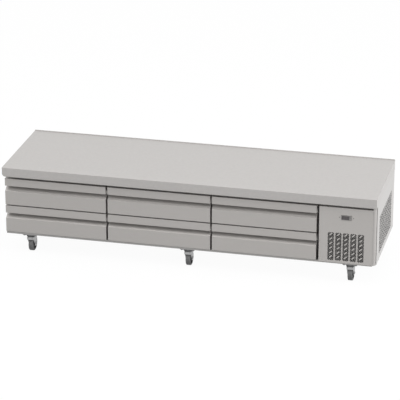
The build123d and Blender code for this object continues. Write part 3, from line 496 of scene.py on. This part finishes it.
# near-black fins, painted shade behind the vent grille
condenserFinsPaintedShade = finStack("condenser_fins", (0.045, 0.045, 0.045), pitch=0.0026)
evaporatorFins = finStack("evaporator_fins", (0.42, 0.42, 0.42), pitch=0.0035)
rubber = gasketRubber("gasket_rubber", (0.11, 0.11, 0.112))
bezelPlastic = mouldedPlastic("bezel_plastic", (0.31, 0.3, 0.29))
keyPlastic = mouldedPlastic("key_plastic", (0.33, 0.32, 0.31), roughness=0.4)
markInk = mouldedPlastic("mark_ink", (0.62, 0.61, 0.6), roughness=0.5)
sealRubber = mouldedPlastic(
    "seal_rubber", (0.09, 0.09, 0.091), roughness=0.6, grainScale=300.0,
)
glandPlastic = mouldedPlastic("gland_plastic", (0.02, 0.02, 0.02))
fanPlastic = mouldedPlastic("fan_plastic", (0.03, 0.03, 0.032), roughness=0.5)
fanSheet = zincPlate("fan_sheet", (0.5, 0.5, 0.5), roughness=0.4)
enamel = blackEnamel("black_enamel", (0.012, 0.012, 0.012))
copper = copperTube("copper_tube", (0.62, 0.3, 0.18))
windowDark = darkWindow("display_window", (0.075, 0.068, 0.07))
segmentDark = darkWindow("segment_unlit", (0.12, 0.105, 0.105))
foam = foamBoard("foam_board", (0.72, 0.66, 0.42))

# painted shade on the shell's faces inside the machine bay; the skin keeps the outer faces at
# the back and below as they are, and towards the open sides the box reaches beyond the shell
machineBayShade = {"color": (0.1, 0.1, 0.1), "left": 0.8362, "skin": 0.0006, "beyond": 1.0}
shellLow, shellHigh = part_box("cabinet_shell")
beyond, skin = machineBayShade["beyond"], machineBayShade["skin"]
paintShadeInside(
    shellSteel, machineBayShade["color"],
    (machineBayShade["left"], shellLow[1] - beyond, shellLow[2] + skin),
    (shellHigh[0] + beyond, shellHigh[1] - skin, shellHigh[2] + beyond),
)

# painted shade on the cut edges of the punched holes; the margin leaves out the panel's own
# edges
holeEdgeShade = {"color": (0.06, 0.058, 0.055), "margin": 0.01}
for nodeName, material, sheetAxis in (
    ("service_panel", panelSteel, 1), ("side_panel", sideSteelPaintedLight, 0),
):
    low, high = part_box(nodeName)
    insets = [holeEdgeShade["margin"]] * 3
    insets[sheetAxis] = -holeEdgeShade["margin"]
    insideLow = [corner + inset for corner, inset in zip(low, insets)]
    insideHigh = [corner - inset for corner, inset in zip(high, insets)]
    paintShadeInside(material, holeEdgeShade["color"], insideLow, insideHigh, sheetAxis)
print("materials made")

finishes = {
    "worktop": worktopSteel,
    "insulation": foam,
    "cabinet_shell": shellSteel,
    "cabinet_liner": linerSteel,
    "face_frame": postSteelPaintedShade,
    "service_panel": panelSteel,
    "side_panel": sideSteelPaintedLight,
    "underframe": railSteelPaintedShade,
    "caster_plates": plateZincPaintedShade,
    "slide_channels": slideSteel,
    "controller_bezel": bezelPlastic,
    "controller_display": windowDark,
    "controller_key_up": keyPlastic,
    "controller_key_down": keyPlastic,
    "panel_screws": screwZinc,
    "condenser_coil": condenserFinsPaintedShade,
    "condenser_fan_motor": enamel,
    "condenser_fan": fanSheet,
    "compressor": enamel,
    "refrigerant_lines": copper,
    "evaporator_coil": evaporatorFins,
    "evaporator_housing": shellSteel,
    "evaporator_fan": fanPlastic,
    "power_inlet": glandPlastic,
}

# finishes of the nodes that come in sixes, by the end of their names
familyFinishes = {
    "_drawer_front": frontSteelPaintedShade,
    "_drawer_gasket": rubber,
    "_drawer_frame": linerSteel,
    "_drawer_slides": slideSteel,
    "_caster_fork": casterZinc,
}


def dress(nodeName, material):
    node = nodes[nodeName]
    node.data.materials.clear()
    node.data.materials.append(material)


for nodeName in nodes:
    if nodeName in finishes:
        dress(nodeName, finishes[nodeName])
    for ending, material in familyFinishes.items():
        if nodeName.endswith(ending):
            dress(nodeName, material)
    if nodeName.endswith("_caster_wheel"):
        axle = middleOf(*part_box(nodeName))
        dress(nodeName, casterWheel(nodeName + "_finish", axle))
print("nodes dressed")


# mesh helpers for the small pieces
def finishPiece(name, builder, material, body, smooth=True):
    bmesh.ops.recalc_face_normals(builder, faces=builder.faces)
    mesh = bpy.data.meshes.new(name)
    builder.to_mesh(mesh)
    builder.free()
    for face in mesh.polygons:
        face.use_smooth = smooth
    mesh.materials.append(material)
    piece = bpy.data.objects.new(name, mesh)
    bpy.context.scene.collection.objects.link(piece)
    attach(piece, body)


# joins neighbouring rings of points into a skin
def skinRings(builder, rings, closed):
    pairs = list(zip(rings, rings[1:]))
    if closed:
        pairs.append((rings[-1], rings[0]))
    for here, after in pairs:
        for index in range(len(here)):
            beside = (index + 1) % len(here)
            builder.faces.new((here[index], after[index], after[beside], here[beside]))


# an open row of rings, closed with a face at each end
def skinRod(builder, rings):
    skinRings(builder, rings, False)
    builder.faces.new(rings[0])
    builder.faces.new(rings[-1])


# turns a closed outline of (radius, height) points about an upright axis
def turnOutline(builder, outline, centre, steps):
    rings = []
    for step in range(steps):
        angle = 2 * math.pi * step / steps
        ring = []
        for radius, height in outline:
            x = centre[0] + radius * math.cos(angle)
            y = centre[1] + radius * math.sin(angle)
            ring.append(builder.verts.new((x, y, height)))
        rings.append(ring)
    skinRings(builder, rings, True)


# stands a flat outline of (x, z) points up from the panel face
def raiseOutline(builder, outline, face, rise):
    back = [builder.verts.new((x, face + rise, z)) for x, z in outline]
    front = [builder.verts.new((x, face - rise, z)) for x, z in outline]
    skinRings(builder, [back, front], False)
    builder.faces.new(front)
    builder.faces.new(list(reversed(back)))


joints = frame["record"]["behaviour"]["joints"]
jointPlaces = {joint["name"]: joint.get("pos_m") for joint in joints}

# lip seal round each swivel race
swivelSeal = {
    "outline": (
        (0.0267, 0.1108), (0.0282, 0.1104), (0.0290, 0.1115), (0.0292, 0.1148),
        (0.0288, 0.1160), (0.0292, 0.1172), (0.0293, 0.1196), (0.0289, 0.1206),
        (0.0282, 0.1206), (0.0282, 0.1182), (0.0267, 0.1176),
    ),
    "steps": 48,
}
for jointName, place in jointPlaces.items():
    if jointName.endswith("_caster_swivel"):
        builder = bmesh.new()
        turnOutline(builder, swivelSeal["outline"], place, swivelSeal["steps"])
        sealName = jointName.replace("_swivel", "_seal")
        forkName = jointName.replace("_swivel", "_fork")
        finishPiece(sealName, builder, sealRubber, forkName)
print("caster seals made")

# rivets that hold each slide member to its pan rail
slideRivets = {
    "railReach": 0.27805,  # from the middle of the drawer to the rail's inner face
    "levelDrop": 0.056,
    "start": 0.035,
    "pitch": 0.112,
    "count": 5,
    "profile": ((0.0038, 0.0), (0.0036, 0.0006), (0.0028, 0.0011), (0.0014, 0.0014)),
    "sides": 16,
}


def addRivet(builder, face, inward, y, z):
    rings = []
    for radius, rise in slideRivets["profile"]:
        ring = []
        for side in range(slideRivets["sides"]):
            angle = 2 * math.pi * side / slideRivets["sides"]
            around = (y + radius * math.cos(angle), z + radius * math.sin(angle))
            ring.append(builder.verts.new((face + inward * rise, *around)))
        rings.append(ring)
    skinRod(builder, rings)


for nodeName in nodes:
    if nodeName.endswith("_drawer_frame"):
        low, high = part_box(nodeName)
        middle = middleOf(low, high)[0]
        builder = bmesh.new()
        for side in (-1, 1):
            for index in range(slideRivets["count"]):
                y = low[1] + slideRivets["start"] + index * slideRivets["pitch"]
                railFace = middle + side * slideRivets["railReach"]
                addRivet(builder, railFace, -side, y, high[2] - slideRivets["levelDrop"])
        drawerName = nodeName.replace("_frame", "")
        finishPiece(drawerName + "_rivets", builder, slideSteel, drawerName)
print("rivets made")

# up and down marks on the keys
keyMark = {"halfWidth": 0.0019, "halfHeight": 0.0016, "rise": 0.0001}
for keyName, heading in (("controller_key_up", 1), ("controller_key_down", -1)):
    low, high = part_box(keyName)
    middle = middleOf(low, high)
    builder = bmesh.new()
    tip = heading * keyMark["halfHeight"]
    corners = (
        (middle[0] - keyMark["halfWidth"], middle[2] - tip),
        (middle[0] + keyMark["halfWidth"], middle[2] - tip),
        (middle[0], middle[2] + tip),
    )
    raiseOutline(builder, corners, low[1], keyMark["rise"])
    finishPiece(keyName + "_mark", builder, markInk, keyName, smooth=False)

# unlit segments of the two figures behind the window
displayFigures = {
    "spacing": 0.016,
    "halfWidth": 0.0042,
    "halfHeight": 0.0078,
    "halfStroke": 0.0008,
    "gap": 0.0005,
    "rise": 0.00005,
}


def segmentOutline(x, z, halfLength, upright):
    stroke = displayFigures["halfStroke"]
    reach = halfLength - displayFigures["gap"]
    flat = (
        (-reach, 0), (-reach + stroke, -stroke), (reach - stroke, -stroke),
        (reach, 0), (reach - stroke, stroke), (-reach + stroke, stroke),
    )
    if upright:
        return [(x + b, z + a) for a, b in flat]
    return [(x + a, z + b) for a, b in flat]


low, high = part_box("controller_display")
middle = middleOf(low, high)
halfWidth, halfHeight = displayFigures["halfWidth"], displayFigures["halfHeight"]
builder = bmesh.new()
for figure in (-1, 1):
    x = middle[0] + figure * displayFigures["spacing"] / 2
    outlines = []
    for row in (-1, 0, 1):
        outlines.append(segmentOutline(x, middle[2] + row * halfHeight, halfWidth, False))
    for side in (-1, 1):
        for row in (-0.5, 0.5):
            level = middle[2] + row * halfHeight
            outlines.append(segmentOutline(x + side * halfWidth, level, halfHeight / 2, True))
    for outline in outlines:
        raiseOutline(builder, outline, low[1], displayFigures["rise"])
finishPiece(
    "display_segments", builder, segmentDark, "cabinet", smooth=False,
)
print("controller details made")

# crossed recess in the head of each panel screw, drawn as a flat dark cross that paints the
# shade in the recess
screwCross = {"reach": 0.0018, "halfWidth": 0.0003, "rise": 0.00004, "turns": (0.35, 1.2)}
low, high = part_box("panel_screws")
headRadius, middleZ = (high[2] - low[2]) / 2, middleOf(low, high)[2]
builder = bmesh.new()
for x, turn in zip((low[0] + headRadius, high[0] - headRadius), screwCross["turns"]):
    outline = []
    for arm in range(4):
        angle = turn + arm * math.pi / 2
        along = Vector((math.cos(angle), math.sin(angle)))
        across = Vector((-math.sin(angle), math.cos(angle))) * screwCross["halfWidth"]
        end = along * screwCross["reach"]
        corner = along * screwCross["halfWidth"] + across
        for point in (end - across, end + across, corner):
            outline.append((x + point.x, middleZ + point.y))
    raiseOutline(builder, outline, low[1], screwCross["rise"])
finishPiece(
    "panel_screw_recesses", builder, recessPaintedShade, "cabinet", smooth=False,
)
print("screw recesses made")

# return bends of the condenser tubes
returnBends = {
    "tube": 0.0046,
    "turn": 0.0125,
    "pitch": 0.05,
    "firstRise": 0.052,
    "rows": (0.25, 0.75),
    "steps": 12,
    "sides": 14,
}


def addBend(builder, face, outward, y, z):
    rings = []
    for step in range(returnBends["steps"] + 1):
        angle = math.pi * step / returnBends["steps"]
        radial = Vector((outward * math.sin(angle), 0, -math.cos(angle)))
        centre = Vector((face, y, z)) + radial * returnBends["turn"]
        ring = []
        for side in range(returnBends["sides"]):
            around = 2 * math.pi * side / returnBends["sides"]
            offset = radial * math.cos(around) + Vector((0, 1, 0)) * math.sin(around)
            ring.append(builder.verts.new(centre + offset * returnBends["tube"]))
        rings.append(ring)
    skinRod(builder, rings)


low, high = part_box("condenser_coil")
builder = bmesh.new()
for face, outward in ((low[0], -1), (high[0], 1)):
    for share in returnBends["rows"]:
        y = low[1] + share * (high[1] - low[1])
        z = low[2] + returnBends["firstRise"]
        while z < high[2] - 2 * returnBends["turn"]:
            addBend(builder, face, outward, y, z)
            z += returnBends["pitch"]
finishPiece("condenser_return_bends", builder, copper, "cabinet")

# rolled seam where the two halves of the compressor shell are welded
shellSeam = {
    "outline": (
        (0.0745, -0.004), (0.0772, -0.003), (0.0778, 0.0), (0.0772, 0.003), (0.0745, 0.004),
    ),
    "rise": 0.1,
    "steps": 64,
}
low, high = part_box("compressor")
seamLevel = low[2] + shellSeam["rise"]
seamOutline = [(radius, seamLevel + height) for radius, height in shellSeam["outline"]]
builder = bmesh.new()
turnOutline(builder, seamOutline, middleOf(low, high), shellSeam["steps"])
finishPiece("compressor_seam", builder, enamel, "cabinet")
print("machine bay details made")

# lamps, world and floor
studio = {
    "worldLight": 0.8,
    "overhead": {
        "power": 135.0, "size": (8.0, 5.0), "at": (-0.3, -1.8, 5.5), "aim": (-0.3, 0.0, 0.4),
    },
    "right": {
        "power": 290.0, "size": (3.0, 3.0), "at": (7.0, -0.4, 2.0), "aim": (1.2, 0.0, 0.35),
    },
    "front": {
        "power": 66.0, "size": (8.0, 2.5), "at": (-0.4, -8.0, 3.4), "aim": (-0.2, 0.0, 0.35),
    },
    "floorSize": 60.0,
    "floorGlow": 0.95,
    "floorColor": 0.95,
    "floorBounce": 0.05,
}


def addLamp(name, settings):
    data = bpy.data.lights.new(name, "AREA")
    data.shape = "RECTANGLE"
    data.size, data.size_y = settings["size"]
    data.energy = settings["power"]
    lamp = bpy.data.objects.new(name, data)
    bpy.context.scene.collection.objects.link(lamp)
    lamp.location = settings["at"]
    heading = Vector(settings["aim"]) - Vector(settings["at"])
    lamp.rotation_euler = heading.to_track_quat("-Z", "Y").to_euler()


# one where the camera, a mirror or glass looks at the background, else nought
def seenDirectly(owner):
    path = addNode(owner, "ShaderNodeLightPath")
    seen = path.outputs["Is Camera Ray"]
    for ray in ("Is Glossy Ray", "Is Transmission Ray"):
        seen = calculate(owner, "MAXIMUM", seen, path.outputs[ray])
    return seen


def paintWorld():
    world = bpy.data.worlds.new("studio_world")
    bpy.context.scene.world = world
    world.use_nodes = True
    background = world.node_tree.nodes["Background"]
    background.inputs["Color"].default_value = (1, 1, 1, 1)
    strength = rangeOf(world, seenDirectly(world), studio["worldLight"], 1.0)
    link(world, strength, background.inputs["Strength"])


def layFloor():
    bpy.ops.mesh.primitive_plane_add(size=studio["floorSize"], location=(0, 0, 0))
    floor = bpy.context.object
    floor.name = "studio_floor"
    material = bpy.data.materials.new("studio_floor")
    material.use_nodes = True
    material.node_tree.nodes.clear()
    seen = seenDirectly(material)
    matte = addNode(material, "ShaderNodeBsdfDiffuse")
    paleness = rangeOf(material, seen, studio["floorBounce"], studio["floorColor"])
    link(material, paleness, matte.inputs["Color"])
    glow = addNode(material, "ShaderNodeEmission")
    mixer = addNode(material, "ShaderNodeMixShader")
    link(material, calculate(material, "MULTIPLY", seen, studio["floorGlow"]), mixer.inputs[0])
    link(material, matte.outputs[0], mixer.inputs[1])
    link(material, glow.outputs[0], mixer.inputs[2])
    output = addNode(material, "ShaderNodeOutputMaterial")
    link(material, mixer.outputs[0], output.inputs["Surface"])
    floor.data.materials.append(material)


for lampName in ("overhead", "right", "front"):
    addLamp("lamp_" + lampName, studio[lampName])
paintWorld()
layFloor()
bpy.context.scene.view_settings.view_transform = "Standard"
print("studio lit")
